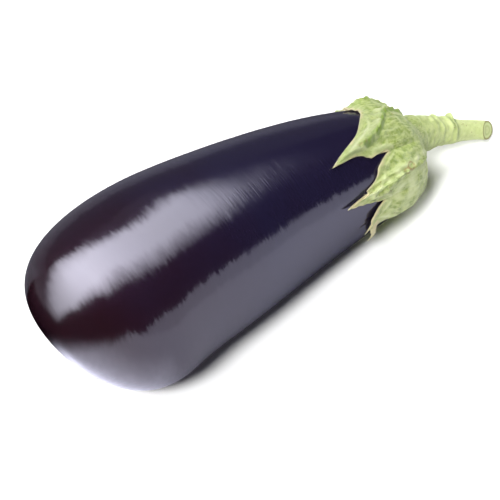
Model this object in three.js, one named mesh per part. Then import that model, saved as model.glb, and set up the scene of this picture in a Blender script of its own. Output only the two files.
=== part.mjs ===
// A whole eggplant lying on its side, as it comes to rest on a table: the dark fruit, the green cap (calyx)
// that holds it, and the stem. Millimetres, +Z up, floor at Z = 0, blossom end toward -X, stem toward +X.
import * as THREE from "three";

// ---- Fruit ----
const FRUIT_LENGTH = 186; // of the axis, from just inside the blossom end to the end hidden in the cap
const FRUIT_AXIS = [
  // evenly spaced control points, blossom end first: a gentle bend, both ends toward -Y, falling to the neck
  [0, -4, 39.1],
  [37.2, 5.5, 43.7],
  [74.4, 3.6, 40.5],
  [111.6, 3, 36.9],
  [148.8, -0.5, 33.5],
  [186, -7, 29.5],
];
const SKIN_OUTLINE = [
  // control points of the half outline: distance along the axis, radius; the blossom end bulges past its start
  [-3.2, 0],
  [-3.2, 4.2],
  [2.7, 31.8],
  [18.1, 42.7],
  [38.2, 43.3],
  [68, 41.8],
  [99, 38.2],
  [133, 33.6],
  [163, 28.4],
  [184, 23.5],
  [186, 12],
  [186, 0],
];
const ROUNDNESS_ERROR = 0.004; // share of the radius by which three faint broad swellings stand out

// ---- Cap ----
// Each lobe's edge, as control points [angle round the axis, distance along it]: `out` runs from the notch
// before the lobe to its tip, `back` from the tip toward the next notch. `lift` is how far the tip stands off
// the skin, `rib` the strength of the midrib. Angles are in degrees: 0 is the far side (+Y), 90 the top, 180
// the near side (-Y), 270 below.
const LOBES = [
  {
    out: [[74.5, 165.5], [86, 161], [97, 156], [103, 151], [110, 142.5], [119, 132]],
    back: [[118, 141], [117.5, 148.5], [122, 154], [122, 160]],
    lift: 1.2,
    rib: 1,
  },
  {
    out: [[122.6, 165.3], [127, 161.5], [131, 157.5], [138, 155.5], [144, 151.5], [149, 146], [151.5, 132]],
    back: [[154, 140], [158.5, 149.5]],
    lift: 1,
    rib: 1,
  },
  {
    out: [[162.3, 156.3], [165.5, 152], [170, 147.5], [177, 146.5], [186, 147], [199, 149.5]],
    back: [[190, 153], [182, 153.5], [185, 158], [193, 164.5]],
    lift: 1,
    rib: 0.3,
  },
  {
    out: [[205, 172.5], [214, 173.5], [226, 170], [238, 162], [247, 152]],
    back: [[251, 161]],
    lift: 0.3,
    rib: 0.5,
  },
  {
    out: [[256, 170], [265, 164], [275, 157], [282, 149]],
    back: [[289, 156], [296, 162]],
    lift: 0.3,
    rib: 0.5,
  },
  {
    out: [[302, 166], [312, 158], [322, 147], [331, 135]],
    back: [[337, 146], [345, 158]],
    lift: 0.8,
    rib: 1,
  },
  {
    out: [[350, 166], [353, 161], [355, 154], [357, 146]],
    back: [[363, 156], [376, 165]],
    lift: 0.4,
    rib: 0.8,
  },
  {
    out: [[396, 170], [404, 168.5], [414.5, 163]],
    back: [[419.5, 165.8], [427, 167.3]],
    lift: 0.3,
    rib: 0.6,
  },
];
const CROWN_OUTLINE = [
  // control points from the stem joint over the shoulder toward the lobes: distance, radius
  [204, 8.2],
  [200, 8.8],
  [196, 10.8],
  [193, 14.3],
  [190, 19],
  [187, 23.6],
];
const FAR_SHOULDER_DROP = 2.6; // the shoulder is this much lower on the side away from the long lobes
const LOBES_BEGIN = 178;
const SEAT_GAP = 0.35; // between the cap and the skin
const SHOULDER_THICKNESS = 4.6;
const EDGE_THICKNESS = 1.2;
const THICKENING = 26; // how far behind its edge the cap reaches its full thickness
const UNDERSIDE_THINNING = 0.45; // share of the shoulder's thickness missing where it was pressed from below
const UNDERSIDE_AT = 225; // the angle in the middle of that stretch
const UNDERSIDE_WIDTH = 45;
const SWELLINGS = [
  // where the cap and the stem's root swell out: angle, distance, height, reach in degrees and along the axis
  [50, 173, 2.6, 20, 6.5],
  [51, 200, 2.4, 40, 6.5],
  [230, 209, 1.1, 40, 6],
];
const MIDRIB_HEIGHT = 1.6;
const MIDRIB_WIDTH = 0.17; // share of half a lobe
const MIDRIB_BEAD = 5.2; // spacing of the lumps along a midrib
const VEIN_HEIGHT = 0.45;
const CREASE_DEPTH = 0.7; // between one lobe and the next

// ---- Stem ----
const STEM_PATH = [
  // evenly spaced control points after the fruit's own end: the stem droops and swings toward -Y
  [195, -5.4, 29.2],
  [203.5, -4, 27.6],
  [211.5, -4.3, 24],
  [219.3, -6, 20],
  [227.5, -8.2, 16],
  [235.7, -10.2, 12.7],
  [243.8, -14.3, 9.9],
  [251.5, -19.5, 7.3],
];
const STEM_REACH = 73; // along the path
const JOINT = 204; // where the cap stops and the stem starts
const JOINT_GAP = 0.3;
const STEM_OUTLINE = [
  // distance along the axis, radius
  [204, 8.2],
  [210, 7.7],
  [217, 7],
  [222, 6.6],
  [227, 6.4],
  [230.5, 5.5],
  [237, 5],
  [246, 4.8],
  [258, 4.6],
];
const STEM_RINGS = [
  // swollen leaf-scar rings: distance, height, width, how far the ring leans
  [210, 0.4, 1.2, 0.6],
  [215, 0.7, 1.2, -0.5],
  [220.5, 0.8, 1.2, 0.8],
  [226, 1.7, 1.6, -2.2],
];
const STEM_FLUTES = 6;
const FLUTE_DEPTH = 0.22;
const CUT_AT = 249;
const CUT_SLANT = 48; // degrees away from a square cut
const CUT_FACES = 135; // degrees round the stem: the cut looks up and toward -Y

// The frame's origin: under the middle of the whole eggplant.
const ORIGIN = [121.97, 3.7, 0];

const deg = THREE.MathUtils.degToRad;
const mix = THREE.MathUtils.lerp;
const smooth = THREE.MathUtils.smoothstep;

// A smooth curve pulled toward its control points, that starts and ends on the outer two; t runs 0 to 1.
function curveAt(points, t) {
  const last = points.length - 1;
  const i = Math.min(Math.floor(t * last), last - 1);
  const f = t * last - i;
  const weights = [(1 - f) ** 3, 3 * f ** 3 - 6 * f ** 2 + 4, 1 + 3 * f + 3 * f ** 2 - 3 * f ** 3, f ** 3];
  const control = (k, axis) => {
    if (k < 0) return 2 * points[0][axis] - points[1][axis];
    if (k > last) return 2 * points[last][axis] - points[last - 1][axis];
    return points[k][axis];
  };
  return points[0].map((_, axis) => weights.reduce((sum, w, k) => sum + w * control(i - 1 + k, axis), 0) / 6);
}

// Where on an outline a distance along the axis is reached, found by halving.
function whereOn(outline, distance) {
  let [low, high] = [0, 1];
  for (let n = 0; n < 30; n++) {
    const middle = (low + high) / 2;
    if (curveAt(outline, middle)[0] < distance) low = middle;
    else high = middle;
  }
  return low;
}

const radiusAt = (outline, distance) => curveAt(outline, whereOn(outline, distance))[1];

// The axis of the whole eggplant, first the fruit's, then the stem's: its point and its direction. Before its
// start it runs straight on.
function axisAt(distance) {
  const inStem = distance > FRUIT_LENGTH;
  const path = inStem ? [FRUIT_AXIS[FRUIT_AXIS.length - 1], ...STEM_PATH] : FRUIT_AXIS;
  const t = inStem ? (distance - FRUIT_LENGTH) / STEM_REACH : Math.max(distance, 0) / FRUIT_LENGTH;
  const direction = (points, at) => {
    const ahead = new THREE.Vector3(...curveAt(points, Math.min(at + 0.001, 1)));
    return ahead.sub(new THREE.Vector3(...curveAt(points, Math.max(at - 0.001, 0)))).normalize();
  };
  const fruitward = direction(FRUIT_AXIS, inStem ? 1 : t);
  const turned = inStem ? smooth(distance, 198, 216) : 0;
  const along = fruitward.lerp(direction(path, t), turned).normalize();
  const point = new THREE.Vector3(...curveAt(path, t)).addScaledVector(along, Math.min(distance, 0));
  return { point, along };
}

// A point at a distance along the axis, a radius from it and an angle round it.
function place(distance, radius, angle) {
  const { point, along } = axisAt(distance);
  const side = new THREE.Vector3(0, 0, 1).cross(along).normalize();
  const up = along.clone().cross(side);
  return point
    .addScaledVector(side, radius * Math.cos(deg(angle)))
    .addScaledVector(up, radius * Math.sin(deg(angle)));
}

// Nothing goes under the floor: what would is pressed flat.
function pressed(point) {
  point.z = Math.max(point.z, 0);
  return point;
}

// One closed surface from a first point, rings of points and a last point.
function closedSurface(first, rings, last) {
  const around = rings[0].length;
  const points = [first, ...rings.flat(), last].map((p) => p.clone().sub(new THREE.Vector3(...ORIGIN)));
  const at = (ring, i) => 1 + ring * around + (i % around);
  const faces = [];
  for (let i = 0; i < around; i++) {
    faces.push(0, at(0, i + 1), at(0, i));
    faces.push(points.length - 1, at(rings.length - 1, i), at(rings.length - 1, i + 1));
    for (let ring = 0; ring < rings.length - 1; ring++) {
      const [a, b, c, d] = [at(ring, i), at(ring, i + 1), at(ring + 1, i), at(ring + 1, i + 1)];
      faces.push(a, b, d, a, d, c);
    }
  }
  const geometry = new THREE.BufferGeometry().setFromPoints(points).setIndex(faces);
  geometry.computeVertexNormals();
  return geometry;
}

const steps = (count) => Array.from({ length: count }, (_, i) => i);

// ---- The fruit's surface ----
function skinPoint(t, angle) {
  const [distance, radius] = curveAt(SKIN_OUTLINE, t);
  const swelling = 1 + ROUNDNESS_ERROR * Math.cos(deg(3 * angle + 40));
  return pressed(place(distance, radius * swelling, angle));
}

function fruitGeometry() {
  const [rows, around] = [48, 60];
  const rings = steps(rows - 1).map((j) =>
    steps(around).map((i) => skinPoint((j + 1) / rows, (360 * i) / around)),
  );
  return closedSurface(skinPoint(0, 0), rings, skinPoint(1, 0));
}

// ---- The cap's surface ----
// A column of the cap, from its root on the crown to a point of a lobe's edge. `across` is -1 at the notch
// before the lobe, 0 on its midrib and 1 at the next notch.
function capColumn(index, perSide) {
  const k = Math.floor(index / (2 * perSide));
  const lobe = LOBES[k];
  const next = LOBES[(k + 1) % LOBES.length].out[0];
  const end = [next[0] + (k === LOBES.length - 1 ? 360 : 0), next[1]];
  const tip = lobe.out[lobe.out.length - 1];
  const across = (index % (2 * perSide)) / perSide - 1;
  const side = across < 0 ? lobe.out : [tip, ...lobe.back, end];
  const [angle, edge] = curveAt(side, across < 0 ? across + 1 : across);
  const share = (across + 1) / 2;
  return {
    k,
    across,
    edge,
    angle,
    root: mix(lobe.out[0][0], end[0], share),
    base: mix(lobe.out[0][1], end[1], share),
    tip: tip[1],
    lift: lobe.lift,
    rib: lobe.rib,
  };
}

// How far along its lobe a point is: 0 at the notches, 1 at the tip.
function alongLobe(column, distance) {
  return Math.min(Math.max(0, (column.base - distance) / (column.base - column.tip)), 1);
}

// Angle of a column at a distance: straight from its root on the crown to its point of the edge.
function capAngle(column, distance) {
  const share = Math.max(0, (LOBES_BEGIN - distance) / (LOBES_BEGIN - column.edge));
  return mix(column.root, column.angle, share);
}

// The gap under the cap, widening where a tip curls up.
function capGap(column, distance) {
  return SEAT_GAP + column.lift * alongLobe(column, distance) ** 3;
}

function capThickness(column, distance) {
  const thinned = 1 - UNDERSIDE_THINNING * Math.exp(-(((column.root - UNDERSIDE_AT) / UNDERSIDE_WIDTH) ** 2));
  return mix(EDGE_THICKNESS, SHOULDER_THICKNESS * thinned, smooth(distance - column.edge, 0, THICKENING));
}

// How far the broad swellings stand out.
function swelling(angle, distance) {
  return SWELLINGS.reduce((sum, [at, middle, height, degrees, reach]) => {
    const off = ((angle - at + 540) % 360) - 180;
    return sum + height * Math.exp(-((off / degrees) ** 2)) * Math.exp(-(((distance - middle) / reach) ** 2));
  }, 0);
}

function shoulderDrop(column, distance) {
  const toward = 0.5 + 0.5 * Math.cos(deg(column.root - 45));
  return FAR_SHOULDER_DROP * toward ** 2 * smooth(distance, 182, 189) * (1 - smooth(distance, 190, 198));
}

// Relief of the outer face: a lumpy midrib on each lobe, a thinner vein either side, a crease between lobes.
function capRelief(column, distance) {
  const bead = 1 + 0.3 * Math.sin((2 * Math.PI * distance) / MIDRIB_BEAD + column.k);
  const fade = smooth(distance - column.edge, 0, 12);
  const midrib = column.rib * MIDRIB_HEIGHT * bead * fade * Math.exp(-((column.across / MIDRIB_WIDTH) ** 2));
  const veins = VEIN_HEIGHT * Math.exp(-(((Math.abs(column.across) - 0.55) / 0.13) ** 2));
  const toNotch = 1 - Math.abs(column.across);
  const crease = CREASE_DEPTH * Math.exp(-((toNotch / 0.18) ** 2)) * smooth(distance - column.edge, 0, 12);
  return (midrib + veins - crease) * (1 - smooth(distance, 182, 200));
}

// The outer face of one column, from the stem joint to the lobe's edge.
function capOuterLine(column, crownRows, lobeRows) {
  const seat = (distance) =>
    radiusAt(SKIN_OUTLINE, distance) + capGap(column, distance) + capThickness(column, distance);
  const onward = [LOBES_BEGIN + 4, LOBES_BEGIN, LOBES_BEGIN - 4].map((distance) => [distance, seat(distance)]);
  const crown = [...CROWN_OUTLINE, ...onward];
  const share = (crown.length - 2) / (crown.length - 1);
  const line = steps(crownRows).map((j) => {
    const [distance, radius] = curveAt(crown, (share * j) / crownRows);
    return [distance, radius - shoulderDrop(column, distance)];
  });
  for (const j of steps(lobeRows + 1)) {
    const distance = mix(LOBES_BEGIN, column.edge, j / lobeRows);
    line.push([distance, seat(distance)]);
  }
  return line.map(([distance, radius], j) => {
    const swollen = swelling(column.root, distance) * smooth(distance - column.edge, 0, 4);
    if (j === 0) return [distance, radius + swollen];
    const [before, after] = [line[j - 1], line[Math.min(j + 1, line.length - 1)]];
    const run = Math.hypot(after[0] - before[0], after[1] - before[1]);
    const outward = [(after[1] - before[1]) / run, (before[0] - after[0]) / run];
    const height = capRelief(column, distance) + swollen;
    return [Math.min(distance + height * outward[0], JOINT), radius + height * outward[1]];
  });
}

// The inner face of one column: from the lobe's edge along the skin, then round the fruit's hidden end.
function capInnerLine(column, lobeRows, endRows) {
  const turn = 179;
  const line = steps(lobeRows).map((j) => {
    const distance = mix(column.edge, turn, j / lobeRows);
    return [distance, radiusAt(SKIN_OUTLINE, distance) + capGap(column, distance)];
  });
  const begin = whereOn(SKIN_OUTLINE, turn);
  for (const j of steps(endRows)) {
    const t = mix(begin, 1, j / endRows);
    const [distance, radius] = curveAt(SKIN_OUTLINE, t);
    const [ahead, behind] = [curveAt(SKIN_OUTLINE, t + 0.001), curveAt(SKIN_OUTLINE, t - 0.001)];
    const run = Math.hypot(ahead[0] - behind[0], ahead[1] - behind[1]);
    line.push([
      distance + (SEAT_GAP * (behind[1] - ahead[1])) / run,
      radius + (SEAT_GAP * (ahead[0] - behind[0])) / run,
    ]);
  }
  return line;
}

function capGeometry() {
  const perSide = 7;
  const columns = steps(2 * perSide * LOBES.length).map((i) => capColumn(i, perSide));
  const lines = columns.map((c) => [...capOuterLine(c, 11, 11), ...capInnerLine(c, 7, 8)]);
  const rings = lines[0].map((_, j) =>
    columns.map((c, i) => pressed(place(lines[i][j][0], lines[i][j][1], capAngle(c, lines[i][j][0])))),
  );
  return closedSurface(place(FRUIT_LENGTH + SEAT_GAP, 0, 0), rings.reverse(), place(JOINT, 0, 0));
}

// ---- The stem's surface ----
function stemRadius(distance, angle) {
  const flutes = FLUTE_DEPTH * Math.cos(deg(STEM_FLUTES * angle)) * (1 - smooth(distance, 227, 231));
  const upward = 0.55 + 0.45 * Math.cos(deg(angle - 75));
  const rings = STEM_RINGS.map(([at, height, width, lean]) => {
    const offset = distance - at - lean * Math.cos(deg(angle - 120));
    const uneven = 1 + 0.25 * Math.sin(deg(2 * angle + 30 * at));
    return height * upward * uneven * Math.exp(-((offset / width) ** 2));
  });
  const plain = radiusAt(STEM_OUTLINE, distance) + swelling(angle, distance);
  return plain + flutes + rings.reduce((sum, h) => sum + h, 0);
}

function stemGeometry() {
  const [rows, around] = [34, 36];
  const start = JOINT + JOINT_GAP;
  const rings = steps(rows).map((j) =>
    steps(around).map((i) => {
      const angle = (360 * i) / around;
      const end = CUT_AT - 4.6 * Math.tan(deg(CUT_SLANT)) * Math.cos(deg(angle - CUT_FACES));
      const distance = mix(start, end, j / (rows - 1));
      return place(distance, stemRadius(distance, angle), angle);
    }),
  );
  return closedSurface(place(start, 0, 0), rings, place(CUT_AT, 0, 0));
}

// ---- Assembly ----
function piece(name, geometry, color, roughness) {
  const mesh = new THREE.Mesh(geometry, new THREE.MeshStandardMaterial({ color, roughness }));
  mesh.name = name;
  return mesh;
}

const eggplant = new THREE.Group();
eggplant.name = "eggplant";
eggplant.add(piece("fruit", fruitGeometry(), 0x2a1c2e, 0.25));
eggplant.add(piece("calyx", capGeometry(), 0xa9bd72, 0.8));
eggplant.add(piece("stem", stemGeometry(), 0xb4c77c, 0.8));

export default eggplant;
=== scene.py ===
# %% [markdown]
# # An eggplant, skin, cap and stem
# A whole eggplant lies on its side on a pale table. It is a fruit with thin waxy skin over spongy flesh,
# held by a green cap, the calyx, that is grown in one with the woody stem. This lesson rebuilds those
# three pieces as fine meshes over a plain measured model, gives each one a material, and lights them like
# a studio table top. Everything is in metres, with +X from the blossom end to the stem and +Z up.

# %% Load the measured model
import bpy
import math
import numpy as np
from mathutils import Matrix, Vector


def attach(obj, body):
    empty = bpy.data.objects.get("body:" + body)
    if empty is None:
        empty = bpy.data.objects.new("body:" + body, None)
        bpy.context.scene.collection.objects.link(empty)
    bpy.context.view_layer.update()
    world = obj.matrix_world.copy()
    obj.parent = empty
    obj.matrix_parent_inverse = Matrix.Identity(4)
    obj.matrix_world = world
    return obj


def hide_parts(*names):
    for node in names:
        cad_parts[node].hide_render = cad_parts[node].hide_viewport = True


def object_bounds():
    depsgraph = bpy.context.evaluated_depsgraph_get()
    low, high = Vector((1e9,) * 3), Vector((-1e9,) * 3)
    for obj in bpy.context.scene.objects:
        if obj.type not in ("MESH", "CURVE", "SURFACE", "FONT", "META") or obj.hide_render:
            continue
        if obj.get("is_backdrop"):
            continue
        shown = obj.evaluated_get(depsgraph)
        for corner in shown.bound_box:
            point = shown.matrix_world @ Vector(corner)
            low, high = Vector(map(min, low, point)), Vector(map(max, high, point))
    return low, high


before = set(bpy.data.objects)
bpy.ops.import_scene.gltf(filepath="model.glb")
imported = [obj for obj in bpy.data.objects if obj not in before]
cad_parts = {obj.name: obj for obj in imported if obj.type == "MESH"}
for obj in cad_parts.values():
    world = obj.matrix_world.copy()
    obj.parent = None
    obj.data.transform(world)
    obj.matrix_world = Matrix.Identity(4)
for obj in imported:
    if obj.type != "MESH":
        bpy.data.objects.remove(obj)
cad_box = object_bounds()
MM = 0.001
print("measured model:", sorted(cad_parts))
print("its box in metres:", [tuple(round(v, 4) for v in corner) for corner in cad_box])

# %% [markdown]
# ## Camera
# The camera looks down on the near side of the blossom end from 0.7 m away, through a long lens that
# hardly bends the outline. The lens length is given for a 36 mm wide sensor. Placing the camera first
# lets every later piece be judged from it. An alternative is to aim it with a Track To constraint at an
# empty; turning the viewing direction straight into a rotation needs no helper object.

# %% Place the camera
TARGET = Vector((-22.07, -3.6, 20.0)) * MM
SIDEWAYS, ABOVE, AWAY = math.radians(-40.9), math.radians(52.0), 0.7
LENS, SENSOR_WIDTH = 110.26, 36.0
toward_camera = Vector((
    math.sin(SIDEWAYS) * math.cos(ABOVE),
    -math.cos(SIDEWAYS) * math.cos(ABOVE),
    math.sin(ABOVE),
))
camera = bpy.data.objects.new("camera", bpy.data.cameras.new("camera"))
bpy.context.scene.collection.objects.link(camera)
camera.data.sensor_width = SENSOR_WIDTH
camera.data.lens = LENS
camera.location = TARGET + toward_camera * AWAY
camera.rotation_mode = "QUATERNION"
camera.rotation_quaternion = (-toward_camera).to_track_quat("-Z", "Y")
bpy.context.scene.camera = camera
print("camera at", tuple(round(v, 3) for v in camera.location))

# %% [markdown]
# ## Smooth curves from a few points
# A grown body has no straight lines, so its outline, its bend and every lobe's edge are smooth curves
# steered by a handful of control points. A uniform cubic B-spline never wiggles between its points and
# bends evenly, which a glossy skin needs: any kink would show as a break in a highlight. Extra points
# before the first and after the last make the curve begin and end exactly where the list does.

# %% Curve helpers
def curve_at(points, t):
    """Points of the smooth curve that the control points steer, for t from 0 to 1."""
    points = np.asarray(points, float)
    padded = np.vstack([2 * points[0] - points[1], points, 2 * points[-1] - points[-2]])
    place_on = np.clip(np.asarray(t, float), 0, 1) * (len(points) - 1)
    first = np.minimum(place_on.astype(int), len(points) - 2)
    f = (place_on - first)[..., None]
    weights = ((1 - f) ** 3, 3 * f**3 - 6 * f**2 + 4, 1 + 3 * f + 3 * f**2 - 3 * f**3, f**3)
    return sum(w * padded[first + k] for k, w in enumerate(weights)) / 6


def smooth(value, low, high):
    """0 up to low and 1 from high on, with a soft climb between."""
    t = np.clip((value - low) / (high - low), 0, 1)
    return t * t * (3 - 2 * t)


def bell(value, middle, width):
    """1 at the middle, falling smoothly to nothing a few widths away."""
    return np.exp(-(((value - middle) / width) ** 2))


def lumps(points, size, seed):
    """Soft uneven swellings about `size` mm across: a seeded sum of waves."""
    draw = np.random.default_rng(seed)
    total = np.zeros(points.shape[:-1])
    for _ in range(14):
        way = draw.normal(size=3)
        way *= 2 * math.pi / (size * draw.uniform(1.3, 2.6) * np.linalg.norm(way))
        total += np.sin(points @ way + draw.uniform(0, 2 * math.pi))
    return total / 5  # which brings most values between -1 and 1


print("a curve through three points, halfway:", curve_at([[0, 0], [1, 1], [2, 0]], [0.5])[0])

# %% [markdown]
# ## The bent axis
# Fruit, cap and stem are all drawn around one bent line. A point is given by its distance along that
# line, its distance out from it and an angle round it: 0 is the far side (+Y), 90 the top, 180 the near
# side, 270 below. The surfaces can then be written as plain radius formulas, and the bend comes for free.

# %% Axis of fruit and stem
FRUIT_LENGTH = 186.0
# X, Y and Z in mm, from the blossom end on.
FRUIT_AXIS = [[0, -4, 39.1], [37.2, 5.5, 43.7], [74.4, 3.6, 40.5], [111.6, 3, 36.9], [148.8, -0.5, 33.5],
              [186, -7, 29.5]]
STEM_PATH = [[195, -5.4, 29.2], [203.5, -4, 27.6], [211.5, -4.3, 24], [219.3, -6, 20], [227.5, -8.2, 16],
             [235.7, -10.2, 12.7], [243.8, -14.3, 9.9], [251.5, -19.5, 7.3]]
STEM_REACH = 73.0
TILT_FROM, TILT_TO = 198, 216  # between these the rings turn from the fruit's direction to the stem's
ORIGIN = np.array([121.97, 3.7, 0.0])  # where the middle of the footprint lies, which becomes zero


def direction(points, t):
    step = curve_at(points, np.minimum(t + 0.001, 1)) - curve_at(points, np.maximum(t - 0.001, 0))
    return step / np.linalg.norm(step, axis=-1, keepdims=True)


def axis_at(distance):
    """The axis's points at distances along it, and the directions its rings face there."""
    distance = np.asarray(distance, float)
    stem_path = [FRUIT_AXIS[-1], *STEM_PATH]
    in_fruit, in_stem = distance / FRUIT_LENGTH, (distance - FRUIT_LENGTH) / STEM_REACH
    beyond = (distance > FRUIT_LENGTH)[..., None]
    point = np.where(beyond, curve_at(stem_path, in_stem), curve_at(FRUIT_AXIS, in_fruit))
    fruitward = direction(FRUIT_AXIS, np.clip(in_fruit, 0, 1))
    turned = (smooth(distance, TILT_FROM, TILT_TO) * (distance > FRUIT_LENGTH))[..., None]
    along = fruitward * (1 - turned) + direction(stem_path, np.clip(in_stem, 0, 1)) * turned
    along /= np.linalg.norm(along, axis=-1, keepdims=True)
    return point + along * np.minimum(distance, 0)[..., None], along


def place(distance, radius, angle):
    """Points at distances along the axis, radii from it and angles round it, pressed flat by the table."""
    point, along = axis_at(distance)
    side = np.cross([0.0, 0.0, 1.0], along)
    side /= np.linalg.norm(side, axis=-1, keepdims=True)
    up = np.cross(along, side)
    turn = np.radians(angle)[..., None]
    radius = np.asarray(radius, float)[..., None]
    found = point + side * radius * np.cos(turn) + up * radius * np.sin(turn)
    found[..., 2] = np.maximum(found[..., 2], 0)
    return found - ORIGIN


def on_axis(distance):
    """The one point of the axis itself at a distance."""
    return place(np.array(float(distance)), np.array(0.0), np.array(0.0))


print("fruit axis from", on_axis(0).round(1), "to", on_axis(FRUIT_LENGTH).round(1), "mm")

# %% [markdown]
# ## From rings of points to a mesh
# Each piece is a stack of rings joined by four-sided faces and closed by a fan at both ends. Building the
# faces directly keeps full control of how dense they are: fine where a lobe's edge is, coarse where
# nothing shows.

# %% Mesh helper
def make_piece(name, rings, first, last, marks=None):
    """A closed mesh over rings of points in mm, fanned in to a first and a last point."""
    rows, around = rings.shape[:2]
    points = np.vstack([first[None], rings.reshape(-1, 3), last[None]]) * MM
    i = np.arange(around)
    after = (i + 1) % around
    faces = [(0, int(1 + b), int(1 + a)) for a, b in zip(i, after)]
    for row in range(rows - 1):
        low, high = 1 + row * around, 1 + (row + 1) * around
        faces += [(int(low + a), int(low + b), int(high + b), int(high + a)) for a, b in zip(i, after)]
    top = 1 + (rows - 1) * around
    faces += [(len(points) - 1, int(top + a), int(top + b)) for a, b in zip(i, after)]
    mesh = bpy.data.meshes.new(name)
    mesh.from_pydata(points.tolist(), [], faces)
    mesh.shade_smooth()
    for title, values in (marks or {}).items():
        full = np.concatenate([[values[0].mean()], values.reshape(-1), [values[-1].mean()]])
        mesh.attributes.new(title, "FLOAT", "POINT").data.foreach_set("value", full.astype(np.float32))
    piece = bpy.data.objects.new(name, mesh)
    bpy.context.scene.collection.objects.link(piece)
    size = points.max(0) - points.min(0)
    print(name, len(faces), "faces,", (size / MM).round(1), "mm")
    return piece


# %% [markdown]
# ## The fruit
# The skin is stretched tight over spongy flesh, so its outline is full and even, with only faint broad
# swellings left from growth, and the fruit's own weight presses a flat spot under its belly. Low, wide
# swellings of under a tenth of a millimetre are added as real geometry, because on so glossy a skin they
# are what makes the long highlight's edge waver.

# %% Model the fruit
# An outline gives [distance along the axis, radius] in mm.
SKIN_OUTLINE = [[-3.2, 0], [-3.2, 4.2], [2.7, 31.8], [18.1, 42.7], [38.2, 43.3], [68, 41.8], [99, 38.2],
                [133, 33.6], [163, 28.4], [184, 23.5], [186, 12], [186, 0]]
ROUNDNESS_ERROR = 0.004  # share of the radius by which three faint broad swellings stand out
BEFORE_HIDDEN_END = 0.965  # share of the outline that comes before it turns in at the hidden end
fine = np.linspace(0, 1, 4001)
outline = curve_at(SKIN_OUTLINE, fine)


def skin_radius(distance):
    keep = fine <= BEFORE_HIDDEN_END
    return np.interp(distance, outline[keep, 0], outline[keep, 1])


def fruit_rings(rows, around):
    t = np.linspace(0, 1, rows + 1)[1:-1, None] * np.ones(around)
    angle = np.linspace(0, 360, around, endpoint=False)[None, :] * np.ones((rows - 1, 1))
    distance, radius = np.moveaxis(curve_at(SKIN_OUTLINE, t), -1, 0)
    radius = radius * (1 + ROUNDNESS_ERROR * np.cos(np.radians(3 * angle + 40)))
    points = place(distance, radius, angle)
    growth = 0.09 * lumps(points, 26, seed=4) + 0.03 * lumps(points, 9, seed=9)
    return place(distance, radius + growth * np.minimum(radius / 12, 1), angle)


blossom_end, hidden_end = on_axis(SKIN_OUTLINE[0][0]), on_axis(FRUIT_LENGTH)
fruit = make_piece("skin_over_flesh", fruit_rings(rows=190, around=240), blossom_end, hidden_end)
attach(fruit, "root")
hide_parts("fruit")

# %% [markdown]
# ## The cap
# The calyx is thick and fleshy where it comes off the stem and thins to pointed lobes that lie on the
# skin. Each lobe is spread out from the stem joint as a fan of columns: every column runs from the crown
# to one point of the lobe's edge, so the edge follows its drawn line exactly and the mesh flows with the
# leaf. Cutting the outline from a sheet with a Boolean is the other common way, but it leaves ragged
# faces right where the eye looks.

# %% Draw the lobes
# out runs from notch to tip and back from the tip toward the next notch, as [angle, distance]; lift is how
# far the tip stands off, rib the midrib's strength, band that of the furrow beside it and of the deeper
# green painted there as shade, and bend where the midrib runs: (distance, share of half the lobe off its
# middle).
LOBES = [
    dict(out=[[74.5, 165.5], [86, 161], [97, 156], [103, 151], [110, 142.5], [119, 132]],
         back=[[118.2, 139], [117.2, 146], [117.2, 149.5], [120, 152.5], [123.2, 155], [123.2, 155.2],
               [121.6, 158], [121.8, 162]],
         lift=1.2, rib=1.0, band=1.2,
         bend=[(140, 0), (152, 0.03), (157, 0.06), (162, -0.06), (166, -0.19), (170, -0.42),
               (174, -0.68), (182, -0.85)]),
    dict(out=[[122.6, 165.3], [126, 162], [129.5, 159.5], [133.5, 155.8], [139, 155.3], [143.5, 151.8],
              [146, 146.6], [146.2, 146.6], [149.3, 147], [152.2, 141.5], [151.5, 132]],
         back=[[153.8, 139.5], [157, 147], [159.5, 152]],
         lift=1.0, rib=1.0, band=0.2,
         bend=[(136, 0), (145, 0.3), (152, 0.45), (155, 0.4), (157, 0.25), (160, 0.09), (166, 0)]),
    dict(out=[[162.3, 156.3], [165.5, 152.3], [170.5, 148], [176, 147], [184, 147.5]],
         back=[[180.5, 150.5], [182, 154], [184.5, 157.5], [191, 163.5]],
         lift=1.0, rib=0.3),
    dict(out=[[205, 172.5], [214, 173.5], [226, 170], [238, 162], [247, 152]],
         back=[[251, 161]],
         lift=0.3, rib=0.5),
    dict(out=[[256, 170], [265, 164], [275, 157], [282, 149]],
         back=[[289, 156], [296, 162]],
         lift=0.3, rib=0.5),
    dict(out=[[302, 166], [312, 158], [322, 147], [331, 135]],
         back=[[337, 146], [345, 158]],
         lift=0.8, rib=1.0),
    dict(out=[[350, 166], [353, 161], [355, 154], [357, 146]],
         back=[[363, 156], [376, 165]],
         lift=0.4, rib=0.8),
    dict(out=[[396, 170], [404, 168.5], [414.5, 163]],
         back=[[419.5, 165.8], [427, 167.3]],
         lift=0.3, rib=0.6),
]
PER_SIDE = 44
USUAL_BAND = 0.5
notches = [lobe["out"][0] for lobe in LOBES]
notches.append([notches[0][0] + 360, notches[0][1]])


def lobe_columns(number, lobe):
    """One lobe's columns: their place across it, their ends at its edge and root, and its own values."""
    start, end, tip = np.array(notches[number]), np.array(notches[number + 1]), lobe["out"][-1]
    across = np.arange(2 * PER_SIDE) / PER_SIDE - 1
    to_tip, from_tip = curve_at(lobe["out"], across + 1), curve_at([tip, *lobe["back"], end], across)
    edge = np.where(across[:, None] < 0, to_tip, from_tip)
    root = start + (end - start) * ((across + 1) / 2)[:, None]
    values = dict(across=across, angle=edge[:, 0], edge=edge[:, 1], root=root[:, 0], base=root[:, 1],
                  tip=tip[1], lift=lobe["lift"], rib=lobe["rib"], band=lobe.get("band", USUAL_BAND),
                  lobe=number)
    return {name: np.broadcast_to(value, across.shape) for name, value in values.items()}


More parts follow.
